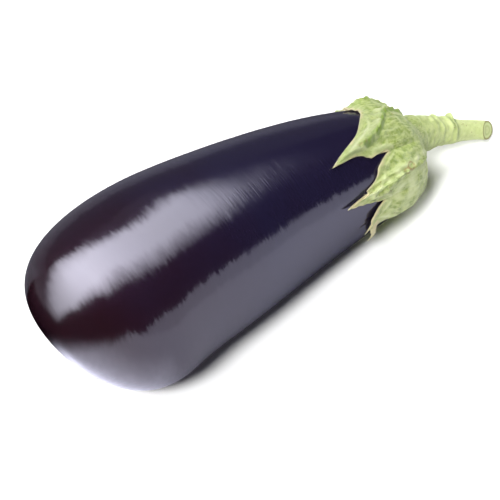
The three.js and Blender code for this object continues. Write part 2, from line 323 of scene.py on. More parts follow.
by_lobe = [lobe_columns(number, lobe) for number, lobe in enumerate(LOBES)]
columns = {name: np.concatenate([values[name] for values in by_lobe]) for name in by_lobe[0]}
print(len(LOBES), "lobes,", len(columns["edge"]), "columns, tips at", [lobe["out"][-1] for lobe in LOBES])

# %% [markdown]
# ## How thick the cap is, and what stands up from it
# The cap is up to 4.6 mm thick at the shoulder and under a millimetre at its rim. A knobbly midrib runs
# down each lobe with blisters on one side of it and a furrow on the other, the margin is a little
# swollen, fine fibres run toward the tips, and the shoulder bulges in two places. All of this is a height
# added along the surface's own normal, so it is true relief that shows in the outline too. The same
# formulas return marks, such as how far a spot lies from the rim, which are stored on the mesh and steer
# the colours later. Some marks are painted light and shade: a deeper green painted as shade beside each
# midrib and on the crown by the stem, and a paler colour painted as light on the blisters, the knob tops
# and one flank. The swollen margin is paler in its own right.

# %% Thickness of the cap, and its gap over the skin
JOINT, LOBES_BEGIN, SEAT_GAP = 204.0, 178.0, 0.3
SHOULDER, RIM, THICKENING = 4.6, 0.9, 26  # two thicknesses, and how far apart they are along the cap
CLOSEST_AT, CLOSEST_REACH = 75, 16  # degrees: here the cap hugs the skin
THINNEST_AT, THINNEST_REACH = 225, 45  # degrees: here the shoulder is thinner
RUFFLE, RUFFLE_REACH = 0.3, 2.5  # height of the waves in the rim, and how far in from it they last


def column_angle(distance):
    share = np.maximum(0, (LOBES_BEGIN - distance) / (LOBES_BEGIN - columns["edge"]))
    return columns["root"] + (columns["angle"] - columns["root"]) * share


def gap_under(distance):
    along = np.clip((columns["base"] - distance) / (columns["base"] - columns["tip"]), 0, 1)
    seated = 1 - 0.75 * bell(columns["root"], CLOSEST_AT, CLOSEST_REACH)
    waves = 1 + np.sin(columns["angle"] * 0.9 + columns["edge"] * 0.8)
    ruffle = RUFFLE * seated * waves * np.exp(-(distance - columns["edge"]) / RUFFLE_REACH)
    return SEAT_GAP * seated + columns["lift"] * along**3 + ruffle


def cap_thickness(distance):
    behind = distance - columns["edge"]
    lip = np.sqrt(1 - (1 - np.clip(behind / RIM, 0, 1)) ** 2) * 0.85 + 0.15
    shoulder = SHOULDER * (1 - 0.45 * bell(columns["root"], THINNEST_AT, THINNEST_REACH))
    return (RIM + (shoulder - RIM) * smooth(behind, 0, THICKENING)) * lip


def cap_radius(distance):
    return skin_radius(distance) + gap_under(distance) + cap_thickness(distance)


full = cap_thickness(np.full(len(columns["edge"]), LOBES_BEGIN)).max()
print("the cap is at most", full.round(1), "mm thick where its lobes begin")

# %% Relief of the cap, and the marks its colours go by
SWELLINGS = [  # on the cap and the stem's root: angle, distance, height, reach in degrees and in mm
    (50, 173, 2.6, 20, 6.5), (51, 200, 2.4, 40, 6.5), (230, 209, 1.1, 40, 6)]
RIND_GRAIN = [(0.16, 4.5, 21), (0.08, 2.4, 24), (0.05, 1.4, 22)]  # height, size, seed of the draw
MIDRIB, BLISTER, FURROW, MARGIN, CREASE, FIBRE = 1.3, 0.5, 0.35, 0.4, 0.2, 0.07  # heights or depths
KNOB_SPACINGS = 4.6, 2.7  # along a midrib
BRUISES = [  # angle, distance, radius of the ring, width
    (110.8, 149.4, 0, 0.8), (110.5, 151.2, 0, 0.8), (110.2, 154.2, 0, 0.9),
    (141, 173, 1.7, 0.55), (143.5, 170, 1.2, 0.55), (147, 162, 0, 0.7)]
# The flank patch is painted light, made paler where the lamps leave it too dark.
PAINTED_LIGHT_FLANK, CROWN_SHADE_PATCH = (162, 19, 172, 14), (118, 30, 192, 9)  # angle, its reach, distance, its reach


def swelling(angle, distance):
    total = 0
    for at, middle, height, degrees, reach in SWELLINGS:
        off = (angle - at + 540) % 360 - 180
        total = total + height * bell(off, 0, degrees) * bell(distance, middle, reach)
    return total


def midrib_line(distance):
    bends = [lobe.get("bend", [(0, 0)]) for lobe in LOBES]
    return np.concatenate([np.interp(distance[columns["lobe"] == k], *np.transpose(bend))
                           for k, bend in enumerate(bends)])


def patch(distance, at, degrees, middle, reach):
    return bell(columns["root"], at, degrees) * bell(distance, middle, reach)


def rind_grain(points):
    return sum(height * lumps(points, size, seed) for height, size, seed in RIND_GRAIN)


def cap_relief(distance, points, rim):
    """Height of the relief above the plain cap in mm, and the marks that its colours are laid by."""
    behind, number = distance - columns["edge"], columns["lobe"]
    wander = 0.07 * lumps(points, 9, seed=25)
    off = columns["across"] - midrib_line(distance) + wander
    knobs = 1 + 0.4 * np.sin(2 * np.pi * distance / KNOB_SPACINGS[0] + number)
    knobs += 0.3 * np.sin(2 * np.pi * distance / KNOB_SPACINGS[1] + 2 * number)
    strength = columns["rib"] * smooth(rim, 0.5, 4) * (1 - smooth(distance, 178, 196))
    midrib = strength * bell(off, 0, 0.14)
    blisters = strength * bell(off, -0.25, 0.22) * (0.5 + lumps(points, 2.6, seed=26))
    furrow = strength * columns["band"] * bell(off, 0.27, 0.12)
    margin = bell(rim, 3.4 + 0.8 * lumps(points, 10, seed=27), 0.8)
    margin *= smooth(behind, 3, 8) * (1 - smooth(behind, 16, 30))
    notch = 1 - np.abs(columns["across"]) + 0.5 * wander
    crease = bell(notch, 0, 0.12) * smooth(behind, 0, 8) * (1 - smooth(behind, 9, 24))
    weave = 0.44 * columns["root"] + 0.9 * lumps(points, 6, seed=29)
    fibre = lumps(np.stack([weave, 0.3 * distance, wander], -1), 0.7, seed=23)
    height = MIDRIB * midrib * knobs + BLISTER * blisters - FURROW * furrow
    height += MARGIN * margin - CREASE * crease
    height += (rind_grain(points) + FIBRE * fibre * (1 - smooth(distance, 198, 202))) * smooth(rim, 0, 2)
    height += swelling(columns["root"], distance) * smooth(rim, 0, 4)
    # Painted shade: a deeper green just off each midrib, on its shaded side.
    green = strength * columns["band"] * bell(off, 0.08, 0.11) * (0.9 + 0.8 * lumps(points, 2.6, seed=28))
    # Painted light: this flank is made paler where the lamps leave it too dark.
    painted_flank_light = patch(distance, *PAINTED_LIGHT_FLANK) * (0.9 + 0.9 * lumps(points, 4, seed=30))
    # The swollen margin is truly paler; the pale on the blisters and knob tops, the lit side of each
    # midrib, is painted highlight.
    pale_and_painted_light = 0.8 * margin + 0.8 * np.maximum(blisters, 0) + 0.25 * midrib * (knobs - 1) + painted_flank_light
    bruise = 0
    for at, middle, ring, width in BRUISES:
        aside = np.radians(column_angle(distance) - at) * (skin_radius(distance) + 3)
        bruise = bruise + bell(np.hypot(aside, distance - middle), ring, width)
    return height, {"rim": rim, "green": np.clip(green, 0, 1), "pale_and_painted_light": np.clip(pale_and_painted_light, 0, 1),
                    "bruise": bruise, "fibre": fibre, "crown_shade": patch(distance, *CROWN_SHADE_PATCH)}


print("relief of", MIDRIB, "mm at the midribs down to", RIND_GRAIN[-1][0], "mm in the finest grain")

# %% Model the cap
CROWN_OUTLINE = [[204, 8.2], [200, 8.8], [196, 10.8], [193, 14.3], [190, 19], [187, 23.6]]
FAR_SHOULDER_DROP = 2.6  # how much lower the shoulder is on its far upper side
SEAM_DIP, SEAM_FROM = 0.6, 201.8  # how deep the cap sinks under the stem's surface, and from where on
ROUND_HIDDEN_END = [(181.5, 24.6), (184.5, 21.0), (186.3, 12.0)]  # distances and radii of the inner face


def shoulder_drop(distance):
    toward = 0.5 + 0.5 * np.cos(np.radians(columns["root"] - 45))
    return FAR_SHOULDER_DROP * toward**2 * smooth(distance, 182, 189) * (1 - smooth(distance, 190, 198))


def cap_outer(crown_rows, lobe_rows):
    """The outer face as rows of distances and radii, from the stem joint to the rim, and its marks."""
    onward = [np.stack(np.broadcast_arrays(distance, cap_radius(distance)), -1)
              for distance in (LOBES_BEGIN + 4, LOBES_BEGIN, LOBES_BEGIN - 4)]
    control = np.stack([np.broadcast_to(point, onward[0].shape) for point in CROWN_OUTLINE] + onward)
    crown_share = (len(control) - 2) / (len(control) - 1)
    line = []
    for j in range(crown_rows):
        row = curve_at(control.reshape(len(control), -1), crown_share * j / crown_rows).reshape(-1, 2)
        line.append(np.stack([row[:, 0], row[:, 1] - shoulder_drop(row[:, 0])], -1))
    for j in range(lobe_rows + 1):
        distance = columns["edge"] + (LOBES_BEGIN - columns["edge"]) * (1 - j / lobe_rows) ** 1.5
        line.append(np.stack([distance, cap_radius(distance)], -1))
    line = np.stack(line)
    slope = np.gradient(line, axis=0)
    slope /= np.linalg.norm(slope, axis=-1, keepdims=True)
    plain = place(line[..., 0], line[..., 1], np.stack([column_angle(row) for row in line[..., 0]]))
    rim = [np.sqrt(((row[:, None] - plain[-1][None]) ** 2).sum(-1).min(1)) for row in plain]
    relief, marks = zip(*[cap_relief(*row) for row in zip(line[..., 0], plain, rim)])
    relief = np.stack(relief) - SEAM_DIP * smooth(line[..., 0], SEAM_FROM, JOINT)
    distance = line[..., 0] + relief * slope[..., 1]
    radius = line[..., 1] - relief * slope[..., 0]
    return distance, radius, {title: np.stack([row[title] for row in marks]) for title in marks[0]}


def cap_inner(rows):
    distances = [columns["edge"] + (LOBES_BEGIN + 1 - columns["edge"]) * j / rows for j in range(rows)]
    radii = [skin_radius(distance) + gap_under(distance) for distance in distances]
    return np.stack(distances), np.stack(radii)


distance, radius, cap_marks = cap_outer(crown_rows=44, lobe_rows=62)
under_distance, under_radius = cap_inner(rows=14)
end_distance, end_radius = np.transpose(ROUND_HIDDEN_END)[:, :, None] * np.ones(len(columns["edge"]))
all_distance = np.vstack([distance, under_distance, end_distance])
all_radius = np.vstack([radius, under_radius, end_radius])
all_angle = np.stack([column_angle(row) for row in all_distance])
rings = place(all_distance, all_radius, all_angle)[::-1]
unmarked = np.zeros_like(np.vstack([under_distance, end_distance]))
marks = {title: np.vstack([values, unmarked])[::-1] for title, values in cap_marks.items()}
cap = make_piece("cap", rings, on_axis(ROUND_HIDDEN_END[-1][0] + 0.1), on_axis(JOINT - 0.5), marks)
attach(cap, "root")
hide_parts("calyx")

# %% [markdown]
# ## The withered tip
# The third lobe's tip has dried: it narrows to a thin hooked end, with a short spur beside it, that lets
# go of the skin. Each is a flat tapering strand swept along a few points, rooted inside the lobe. Bending
# the lobe's own mesh that sharply would fold it over itself.

# %% Model the hooked tip and its spur
FLATNESS = 0.42  # a strand's thickness as a share of its width
STRAND_ROWS, STRAND_AROUND = 48, 16


def tip_strand(name, path, breadth):
    """A flat tapering strand along a path of [angle, distance, height above the skin]."""
    along_path = np.linspace(0, 1, STRAND_ROWS)
    angle, distance, height = curve_at(path, along_path).T
    middle = place(distance, skin_radius(distance) + height, angle)
    outward = place(distance, skin_radius(distance) + height + 1, angle) - middle
    along = np.gradient(middle, axis=0)
    sideways = np.cross(along, outward)
    sideways /= np.linalg.norm(sideways, axis=-1, keepdims=True)
    width = breadth * (1 - 0.93 * along_path**1.6)
    turn = np.linspace(0, 2 * math.pi, STRAND_AROUND, endpoint=False)[None, :, None]
    ring = sideways[:, None] * np.cos(turn) + FLATNESS * outward[:, None] * np.sin(turn)
    rings = middle[:, None] + ring * width[:, None, None] / 2
    strand = make_piece(name, rings, middle[0], middle[-1])
    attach(strand, "root")
    return strand


strands = [
    tip_strand("hooked_tip", [[178, 152, 1.3], [181, 149.8, 1.5], [187, 149.6, 1.9], [195, 151.8, 2.2],
                              [202, 152, 2.4], [207, 150.6, 2.6]], breadth=4.2),
    tip_strand("tip_spur", [[178, 150, 1.3], [180.5, 148.2, 1.6], [183, 145.6, 1.9], [184.5, 143.2, 2.3]],
               breadth=2.3),
]

# %% [markdown]
# ## The stem
# The stem leaves the cap as wide as a thumb, runs through a few low rings to the swollen joint where it
# was once held to the plant, and ends thinner and smooth in a slanting cut. The hollow behind each ring
# gets painted shade, a deeper green. The stem goes on a little way inside the cap, just under its surface,
# so the two grow together with no visible seam.

# %% Outline and rings of the stem
STEM_START = 201.0
STEM_OUTLINE = [[204, 8.2], [210, 7.7], [217, 7], [222, 6.6], [227, 6.4], [230.5, 5.5], [237, 5],
                [246, 4.8], [258, 4.6]]
STEM_RINGS = [  # distance, height, width, lean
    (210, 0.4, 1.2, 0.6), (215, 0.7, 1.2, -0.5), (220.5, 0.8, 1.2, 0.8), (226, 1.7, 1.6, -2.2)]
FLUTE, WRINKLE = 0.22, 0.12  # heights of its six flutes and of its fine wrinkles
ROOT_TAPER = 0.06  # how much its radius shrinks for every millimetre inside the cap
stem_line = curve_at(STEM_OUTLINE, fine)


def stem_rings(distance, angle):
    """Height of the rings in mm, and the shade painted as a deeper green in the hollow behind each one."""
    upward = 0.55 + 0.45 * np.cos(np.radians(angle - 75))
    height = shade = 0
    for at, high, width, lean in STEM_RINGS:
        offset = distance - at - lean * np.cos(np.radians(angle - 120))
        uneven = 1 + 0.4 * np.sin(np.radians(3 * angle + 30 * at))
        height = height + high * upward * uneven * bell(offset, 0, width)
        shade = shade + high * upward**2 * uneven * bell(offset, 1.2 * width, 0.8 * width)
    return height, shade


def stem_radius(distance, angle):
    flutes = FLUTE * np.cos(np.radians(6 * angle)) * (1 - smooth(distance, 227, 231))
    flutes *= smooth(distance, 203, 208)
    radius = np.interp(distance, stem_line[:, 0], stem_line[:, 1]) + swelling(angle, distance) + flutes
    radius += stem_rings(distance, angle)[0]
    return radius - ROOT_TAPER * np.maximum(0, JOINT - distance)


print("the stem is", (2 * stem_line[-1, 1]).round(1), "mm thick at its end")

# %% Model the stem
CUT_AT, CUT_SLANT, CUT_FACES = 249.0, 48.0, 135.0  # distance, degrees off square, and the angle it faces
CUT_SHARES = [0.985, 0.95, 0.85, 0.7, 0.55, 0.4, 0.25, 0.12]  # rings of the cut face, as shares of its rim
rows, around = 200, 120
angle = np.linspace(0, 360, around, endpoint=False)[None, :] * np.ones((rows, 1))
slant = math.tan(math.radians(CUT_SLANT)) * np.cos(np.radians(angle - CUT_FACES))
end = CUT_AT - STEM_OUTLINE[-1][1] * slant
stem_distance = STEM_START + (end - STEM_START) * np.linspace(0, 1, rows)[:, None]
stem_mm = stem_radius(stem_distance, angle)
points = place(stem_distance, stem_mm, angle)
wrinkles = lumps(np.stack(np.broadcast_arrays(0.08 * angle, 0.8 * stem_distance, 0), -1), 1.3, seed=31)
grain = rind_grain(points) + WRINKLE * wrinkles * smooth(stem_distance, 204, 207)
stem_mm = stem_mm + grain * (1 - 0.7 * smooth(stem_distance, 228, 234))
body = place(stem_distance, stem_mm, angle)
cut_middle = on_axis(CUT_AT)
cut_rings = np.stack([cut_middle + (body[-1] - cut_middle) * share for share in CUT_SHARES])
off_cut, on_face = np.zeros((rows, around)), np.array(CUT_SHARES)[:, None] * np.ones(around)
marks = {
    "cut": np.concatenate([off_cut, on_face]),
    "fibre": np.concatenate([wrinkles, 0 * on_face]),
    # Painted shade: a deeper green in the hollow behind each ring.
    "green": np.concatenate([stem_rings(stem_distance, angle)[1], 0 * on_face]),
}
rings = np.concatenate([body, cut_rings])
stem = make_piece("stem_with_cut", rings, on_axis(STEM_START), cut_middle, marks)
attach(stem, "root")
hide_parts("stem")

# %% [markdown]
# ## Colours and a helper for shader nodes
# Colours are picked as sRGB hex values, the way a paint chart gives them, and turned into the linear
# numbers that light is reckoned in. One small function adds a shader node, sets its values and plugs in
# its links, so that each material below reads as a short recipe.

# %% Colour and node helpers
def linear(hex_colour):
    parts = [int(hex_colour[i:i + 2], 16) / 255 for i in (0, 2, 4)]
    return tuple(p / 12.92 if p <= 0.04045 else ((p + 0.055) / 1.055) ** 2.4 for p in parts) + (1.0,)


def add(tree, kind, inputs=None, **settings):
    """Add a shader node with its settings, and give each input a value or a link."""
    node = tree.nodes.new(kind)
    for name, value in settings.items():
        setattr(node, name, value)
    for name, value in (inputs or {}).items():
        if isinstance(value, bpy.types.NodeSocket):
            tree.links.new(value, node.inputs[name])
        else:
            node.inputs[name].default_value = value
    return node


def new_material(name):
    material = bpy.data.materials.new(name)
    material.use_nodes = True
    material.node_tree.nodes.clear()
    return material, material.node_tree


print("a mid green in linear light:", [round(v, 3) for v in linear("8fa860")])

# %% [markdown]
# ## Skin: thin, waxed, near-black purple
# The skin holds dark pigment under a layer of natural wax. Wax has an index of refraction near 1.45 and
# lies very smooth, so the skin mirrors its surroundings sharply but weakly, and more strongly at the rim.
# The pigment is a little redder at the blossom end and bluer toward the stem. Cells in rows round the
# fruit leave striations a fraction of a millimetre apart, which fray the edges of a highlight; they are
# drawn a little coarser than life so that they show. They could be modelled, but that would take millions
# of faces, so a streaked noise leans the shading normal sideways instead, and a faint bump follows.

# %% Make the skin's finish
skin, tree = new_material("Waxed eggplant skin, grown")
where = add(tree, "ShaderNodeTexCoord").outputs["Object"]
apart = add(tree, "ShaderNodeSeparateXYZ", {0: where})
toward_stem = add(tree, "ShaderNodeMapRange", {
    "Value": apart.outputs["X"], "From Min": -0.125, "From Max": -0.03})
blotch = add(tree, "ShaderNodeTexNoise", {
    "Vector": where, "Scale": 1 / 0.022, "Detail": 3.0, "Roughness": 0.55})
drift = add(tree, "ShaderNodeMath", {0: blotch.outputs["Fac"], 1: 0.5}, operation="SUBTRACT")
spread = add(tree, "ShaderNodeMath", {0: drift.outputs[0], 1: 0.5, 2: toward_stem.outputs["Result"]},
             operation="MULTIPLY_ADD", use_clamp=True)
pigment = add(tree, "ShaderNodeMix", {
    "Factor": spread.outputs[0], "A": linear("1f0d14"), "B": linear("19152a")}, data_type="RGBA")
along = add(tree, "ShaderNodeMapping", {"Vector": where, "Scale": (1 / 0.0006, 1 / 0.012, 1 / 0.012)})
striations = add(tree, "ShaderNodeTexNoise", {"Vector": along.outputs[0], "Scale": 1.0, "Detail": 2.0})
fine_grain = add(tree, "ShaderNodeTexNoise", {"Vector": where, "Scale": 1 / 0.0007, "Detail": 1.0})
upright = add(tree, "ShaderNodeNewGeometry").outputs["Normal"]
sideways = add(tree, "ShaderNodeVectorMath", {0: (1.0, 0.0, 0.0), 1: upright},
               operation="CROSS_PRODUCT").outputs[0]
leaning = upright
CELL_ROWS = (0.0008, 0.005, 0.11), (0.003, 0.012, 0.07)  # width and length in metres, and how far they lean
for width, length, lean in CELL_ROWS:
    cells = add(tree, "ShaderNodeMapping", {"Vector": where, "Scale": (1 / width, 1 / length, 1 / length)})
    noise = add(tree, "ShaderNodeTexNoise", {"Vector": cells.outputs[0], "Scale": 1.0, "Detail": 2.0})
    tilt = add(tree, "ShaderNodeMath", {0: noise.outputs["Fac"], 1: lean, 2: -lean / 2},
               operation="MULTIPLY_ADD")
    leaning = add(tree, "ShaderNodeVectorMath", {0: sideways, 1: tilt.outputs[0], 2: leaning},
                  operation="MULTIPLY_ADD").outputs[0]
leaning = add(tree, "ShaderNodeVectorMath", {0: leaning}, operation="NORMALIZE").outputs[0]
rough = add(tree, "ShaderNodeMapRange", {"Value": blotch.outputs["Fac"], "To Min": 0.11, "To Max": 0.17})
lines = add(tree, "ShaderNodeBump", {
    "Height": striations.outputs["Fac"], "Normal": leaning, "Strength": 0.12, "Distance": 0.0004})
relief = add(tree, "ShaderNodeBump", {
    "Height": fine_grain.outputs["Fac"], "Normal": lines.outputs[0], "Strength": 0.05, "Distance": 0.0002})
shader = add(tree, "ShaderNodeBsdfPrincipled", {
    "Base Color": pigment.outputs["Result"], "Roughness": rough.outputs["Result"], "IOR": 1.45,
    "Normal": relief.outputs[0]})
add(tree, "ShaderNodeOutputMaterial", {"Surface": shader.outputs[0]})
fruit.data.materials.append(skin)
print(skin.name, len(tree.nodes), "nodes")

# %% [markdown]
# ## Cap and stem: fleshy green with a faint down
# The calyx is living green tissue, thick and juicy but covered with fine down, so it looks matte and a
# little frosted, with no mirror in it. Its colour wanders from grey green to fresh yellow green, the rim
# dries to a pale cream, and old bruises leave small brown rings and flecks. The stem is paler and yellower
# than the cap, partly its own colour and partly painted light where the lamps reach it weakly. Painted
# shade lies as a deeper green beside each midrib, in the hollows behind the stem's rings and on the crown
# by the stem, and painted light makes the blisters, knob tops and one flank paler. The patches are set to
# about 6 mm, the mottling to 2 mm and the flecks to 1 mm; the fibres are read from the mesh, where the
# relief stored them. Sheen stands for the down.

# %% Make the green flesh's finish
def green_flesh(name, marked):
    material, tree = new_material(name)
    where = add(tree, "ShaderNodeTexCoord").outputs["Object"]
    patches = add(tree, "ShaderNodeTexNoise", {
        "Vector": where, "Scale": 1 / 0.006, "Detail": 4.0, "Roughness": 0.6})
    mottle = add(tree, "ShaderNodeTexNoise", {
        "Vector": where, "Scale": 1 / 0.002, "Detail": 3.0, "Roughness": 0.65})
    fibre = add(tree, "ShaderNodeAttribute", attribute_name="fibre").outputs["Fac"]

    def tint(colour, over, source, low, high, most):
        """Lay a colour over another as a value goes from low to high, up to the share `most`."""
        share = add(tree, "ShaderNodeMapRange", {
            "Value": source, "From Min": low, "From Max": high, "To Max": most})
        mixed = add(tree, "ShaderNodeMix", {
            "Factor": share.outputs["Result"], "A": over, "B": linear(colour)}, data_type="RGBA")
        return mixed.outputs["Result"]

    colour = tint("869542", linear("7c895a"), patches.outputs["Fac"], 0.38, 0.62, 1.0)
    colour = tint("949f60", colour, mottle.outputs["Fac"], 0.44, 0.62, 1.0)
    colour = tint("6a7c2c", colour, mottle.outputs["Fac"], 0.48, 0.38, 0.85)
    colour = tint("a9b17a", colour, fibre, 0.1, 0.9, 0.5)
    colour = tint("66792c", colour, fibre, -0.1, -0.9, 0.35)
    apart = add(tree, "ShaderNodeSeparateXYZ", {0: where})
    # Paler and yellower toward the stem end: partly the stem's own colour, partly painted light where the
    # lamps reach it weakly.
    colour = tint("ccd694", colour, apart.outputs["X"], 0.074, 0.100, 0.6)
    green = add(tree, "ShaderNodeAttribute", attribute_name="green").outputs["Fac"]
    # Painted shade: a deeper green beside the midribs and behind the stem's rings.
    colour = tint("5f7522", colour, green, 0.0, 0.6 if marked else 1.2, 1.0)
    if marked:
        marks = {title: add(tree, "ShaderNodeAttribute", attribute_name=title).outputs["Fac"]
                 for title in ("pale_and_painted_light", "rim", "bruise", "crown_shade")}
        # Painted shade: a greyer, darker green on the crown in the hollow by the stem.
        colour = tint("6b7848", colour, marks["crown_shade"], 0.0, 1.0, 0.3)
        dry = add(tree, "ShaderNodeMath", {0: patches.outputs["Fac"], 1: 4.0, 2: marks["rim"]},
                  operation="MULTIPLY_ADD")
        dry = add(tree, "ShaderNodeMath", {0: dry.outputs[0], 1: 1.7}, operation="SUBTRACT")
        colour = tint("9ba36e", colour, marks["rim"], 4.0, 1.2, 0.5)
        # The pale margin is its own colour; the pale on the blisters, knob tops and one flank is painted
        # light.
        colour = tint("b3ba8a", colour, marks["pale_and_painted_light"], 0.1, 1.0, 0.8)
        colour = tint("b5a983", colour, dry.outputs[0], 1.6, 0.6, 0.85)
        blotch = add(tree, "ShaderNodeMath", {0: marks["bruise"], 1: mottle.outputs["Fac"]},
                     operation="MULTIPLY")
        colour = tint("7a5c2c", colour, blotch.outputs[0], 0.2, 0.5, 0.7)
    fleck_noise = add(tree, "ShaderNodeTexNoise", {"Vector": where, "Scale": 1 / 0.0011, "Detail": 2.0})
    fleck_area = add(tree, "ShaderNodeTexNoise", {"Vector": where, "Scale": 1 / 0.011, "Detail": 1.0})
    flecks = add(tree, "ShaderNodeMath", {
        0: fleck_area.outputs["Fac"], 1: 0.6, 2: fleck_noise.outputs["Fac"]}, operation="MULTIPLY_ADD")
    colour = tint("6b5029", colour, flecks.outputs[0], 1.02, 1.1, 0.8)
    down = add(tree, "ShaderNodeBump", {
        "Height": mottle.outputs["Fac"], "Strength": 0.85, "Distance": 0.0004})
    shader = add(tree, "ShaderNodeBsdfPrincipled", {
        "Base Color": colour, "Roughness": 0.62, "IOR": 1.4, "Normal": down.outputs[0],
        "Sheen Weight": 0.25, "Sheen Roughness": 0.5, "Sheen Tint": linear("e6ecd0"),
        "Subsurface Weight": 0.12, "Subsurface Radius": (0.0012, 0.0016, 0.0006), "Subsurface Scale": 1.0})
    add(tree, "ShaderNodeOutputMaterial", {"Surface": shader.outputs[0]})
    print(name, len(tree.nodes), "nodes")
    return material


calyx_flesh = green_flesh("Downy green calyx, grown", marked=True)
for piece in (cap, *strands):
    piece.data.materials.append(calyx_flesh)
stem.data.materials.append(green_flesh("Green stem rind, grown", marked=False))

# %% [markdown]
# ## The fresh cut
# The knife leaves a matte, moist, paler face: a thin brown rim where the rind has dried, a greenish ring
# under it and pith in the middle, in faint rings. The distance from the middle was stored on the mesh
# when the face was modelled, so the rings follow the stem's own outline however uneven it is.

# %% Make the cut's finish
cut, tree = new_material("Cut stem face, sliced")
share = add(tree, "ShaderNodeAttribute", attribute_name="cut")
where = add(tree, "ShaderNodeTexCoord").outputs["Object"]
spongy = add(tree, "ShaderNodeTexNoise", {"Vector": where, "Scale": 1 / 0.0008, "Detail": 2.0})
wander = add(tree, "ShaderNodeMath", {0: spongy.outputs["Fac"], 1: 0.1, 2: share.outputs["Fac"]},
             operation="MULTIPLY_ADD")
face = add(tree, "ShaderNodeValToRGB", {"Fac": wander.outputs[0]})
stops = [(0.0, "c5d18b"), (0.3, "d4de9f"), (0.5, "bcca80"), (0.75, "d8e1a6"), (0.9, "aebd72"),
         (1.0, "8f7a52")]
face.color_ramp.elements[0].color = linear(stops[0][1])
face.color_ramp.elements[1].color = linear(stops[-1][1])
for at, colour in stops[1:-1]:
    face.color_ramp.elements.new(at).color = linear(colour)
moist = add(tree, "ShaderNodeBump", {"Height": spongy.outputs["Fac"], "Strength": 0.3, "Distance": 0.0003})
shader = add(tree, "ShaderNodeBsdfPrincipled", {
    "Base Color": face.outputs["Color"], "Roughness": 0.5, "IOR": 1.38, "Normal": moist.outputs[0]})
add(tree, "ShaderNodeOutputMaterial", {"Surface": shader.outputs[0]})
stem.data.materials.append(cut)
first_on_cut = len(stem.data.polygons) - around * (len(CUT_SHARES) + 1)
for polygon in stem.data.polygons:
    polygon.material_index = int(polygon.index >= first_on_cut)
print(cut.name, "on", len(stem.data.polygons) - first_on_cut, "faces")

# %% [markdown]
# ## The table, and what the skin mirrors
# The fruit lies on a plain pale table. A glossy skin mirrors all that stands round it, so that is
# arranged apart from the table itself, as a photographer does with cards and black cloth: in front lies a
# glowing sheet that is dark where it touches the fruit and bright farther out, a painted shadow of the
# fruit on the table as the skin mirrors it, with a low white card behind it, and at the back only a dim
# sheet and a dim card, so that the skin's top edge stays dark.
# These show in mirror reflections alone. How strongly a sheet glows at each corner of its mesh is worked
# out by a formula and stored there.

# %% Helpers for the table and the sheets
def stage_sheet(name, points, faces, colour, glow=None):
    """A matte sheet, or with a glow one that shows in mirror reflections alone."""
    mesh = bpy.data.meshes.new(name)
    mesh.from_pydata([Vector(p) for p in points], [], faces)
    sheet = bpy.data.objects.new(name, mesh)
    bpy.context.scene.collection.objects.link(sheet)
    material, tree = new_material(name + " finish")
    if glow is None:
        shader = add(tree, "ShaderNodeBsdfDiffuse", {"Color": linear(colour)})
        sheet.visible_glossy = False
    else:
        values = np.broadcast_to(np.asarray(glow, np.float32), len(points))
        mesh.attributes.new("glow", "FLOAT", "POINT").data.foreach_set("value", values.astype(np.float32))
        stored = add(tree, "ShaderNodeAttribute", attribute_name="glow")
        shader = add(tree, "ShaderNodeEmission", {
            "Color": linear(colour), "Strength": stored.outputs["Fac"]})
        sheet.visible_camera = sheet.visible_diffuse = sheet.visible_shadow = False
    add(tree, "ShaderNodeOutputMaterial", {"Surface": shader.outputs[0]})
    mesh.materials.append(material)
    sheet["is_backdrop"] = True


def grid(u, v, surface):
    """Values u and v all over a sheet, its points as surface(u, v) gives them, and its four-sided faces."""
    u, v = np.meshgrid(u, v, indexing="ij")
    points = np.stack(surface(u, v), -1).reshape(-1, 3)
    wide = u.shape[1]
    faces = [(i * wide + j, i * wide + j + 1, (i + 1) * wide + j + 1, (i + 1) * wide + j)
             for i in range(u.shape[0] - 1) for j in range(wide - 1)]
    return u, v, points, faces


print("a grid of 2 by 3 values has", len(grid([0, 1], [0, 1, 2], lambda u, v: (u, v, 0 * u))[3]), "faces")

# %% Lay the table and the near sheet
FAR = 3.0
MIRROR_WHITE = "e8e8ff"
SHEET_BACK = 0.03  # where the near sheet ends and the dim one behind the fruit begins
BELLY_FRONT, TIP_FRONT = -0.022, -0.07  # the near sheet's glow grows beyond these, toward -Y and toward -X
HALF_BRIGHT_AT, FULL_GLOW = 0.052, 3.2  # it is half as bright this far beyond them as it is far out
TIP_GAIN = 1.3  # how much more it glows close in under the blossom end
table_corners = [(-FAR, -FAR, 0), (FAR, -FAR, 0), (FAR, FAR, 0), (-FAR, FAR, 0)]
stage_sheet("table", table_corners, [(0, 1, 2, 3)], "fbfbfb")
stretch = np.concatenate([np.linspace(0, 0.24, 61), np.geomspace(0.25, FAR, 30)])
both_ways = np.concatenate([-stretch[:0:-1], stretch]) - 0.05
x, y, points, faces = grid(both_ways, SHEET_BACK - stretch, lambda x, y: (x, y, 0 * x))
# Painted shadow of the fruit: the glow fades to dark close round it, less so under the blossom end.
beyond_belly = np.hypot(np.maximum(-y + BELLY_FRONT, 0), 0.9 * np.maximum(TIP_FRONT - x, 0))
glow = FULL_GLOW * beyond_belly**2 / (beyond_belly**2 + HALF_BRIGHT_AT**2)
# The glow ends along a slanting line beyond the blossom end, the more softly the farther out.
past_tip = (x + 0.160) * 0.75 - (y - 0.002) * 0.66
soft = 0.01 + 0.08 * np.hypot(x + 0.12, y)
glow *= smooth(past_tip, -soft, soft) * (1 - smooth(y, 0.006, 0.028))
glow *= 1 + TIP_GAIN * smooth(-x, 0.082, 0.108) * bell(beyond_belly, 0, 0.065)
stage_sheet("near_sheet", points, faces, MIRROR_WHITE, glow.reshape(-1))
print("near sheet glows from", round(float(glow.min()), 2), "to", round(float(glow.max()), 2))

